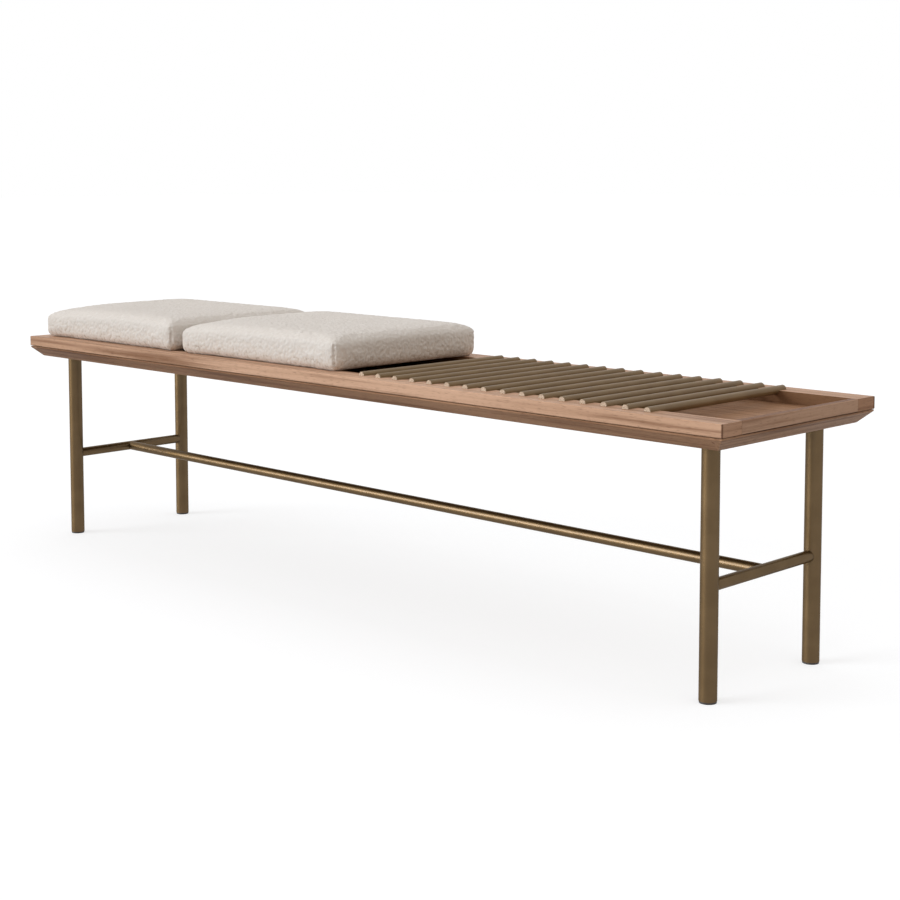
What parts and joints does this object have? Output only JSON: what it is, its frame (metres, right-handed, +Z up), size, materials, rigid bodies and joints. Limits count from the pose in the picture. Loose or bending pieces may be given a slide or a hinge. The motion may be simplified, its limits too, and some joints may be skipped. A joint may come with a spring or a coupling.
{
  "type": "cushioned bench",
  "caption": "Long low bench: bevelled walnut tray on a round-tube H-frame, a row of bronze bars set into the rails, an open end tray and loose boucle cushions.",
  "frame": {"origin": "on the floor under the middle of the bench", "axes": "+X along the bench towards the end with the bars, -Y the front, +Z up"},
  "size_m": [1.8, 0.416, 0.4973],
  "materials": {
    "walnut": "clear satin lacquer over straight-grained walnut",
    "bronze": "satin antique bronze",
    "glide_plastic": "matt",
    "screw_steel": "zinc plated",
    "dowel_wood": "raw beech",
    "boucle": "cream looped boucle",
    "foam": "cut foam",
    "plywood": "raw plywood"
  },
  "bodies": {
    "bench": {"base_board": "walnut", "front_rail": "walnut", "back_rail": "walnut", "left_end_lip": "walnut", "right_end_lip": "walnut", "rod_01": "bronze", "rod_02": "bronze", "rod_03": "bronze", "rod_04": "bronze", "rod_05": "bronze", "rod_06": "bronze", "rod_07": "bronze", "rod_08": "bronze", "rod_09": "bronze", "rod_10": "bronze", "rod_11": "bronze", "rod_12": "bronze", "rod_13": "bronze", "rod_14": "bronze", "rod_15": "bronze", "rod_16": "bronze", "flange_front_left": "bronze", "leg_front_left": "bronze", "glide_front_left": "glide_plastic", "flange_front_right": "bronze", "leg_front_right": "bronze", "glide_front_right": "glide_plastic", "flange_back_left": "bronze", "leg_back_left": "bronze", "glide_back_left": "glide_plastic", "flange_back_right": "bronze", "leg_back_right": "bronze", "glide_back_right": "glide_plastic", "left_end_stretcher": "bronze", "right_end_stretcher": "bronze", "long_stretcher": "bronze", "rod_screws": "screw_steel", "rail_screws": "screw_steel", "flange_screws": "screw_steel", "lip_dowels": "dowel_wood"},
    "cushion_left": {"cushion_cover_left": "boucle", "cushion_foam_left": "foam", "cushion_board_left": "plywood"},
    "cushion_right": {"cushion_cover_right": "boucle", "cushion_foam_right": "foam", "cushion_board_right": "plywood"}
  },
  "joints": [
    {"name": "cushion_left_lift", "type": "slide", "parent": "bench", "child": "cushion_left", "axis": [0, 0, 1], "range_m": [0, 0.3]},
    {"name": "cushion_right_lift", "type": "slide", "parent": "bench", "child": "cushion_right", "axis": [0, 0, 1], "range_m": [0, 0.3]}
  ]
}
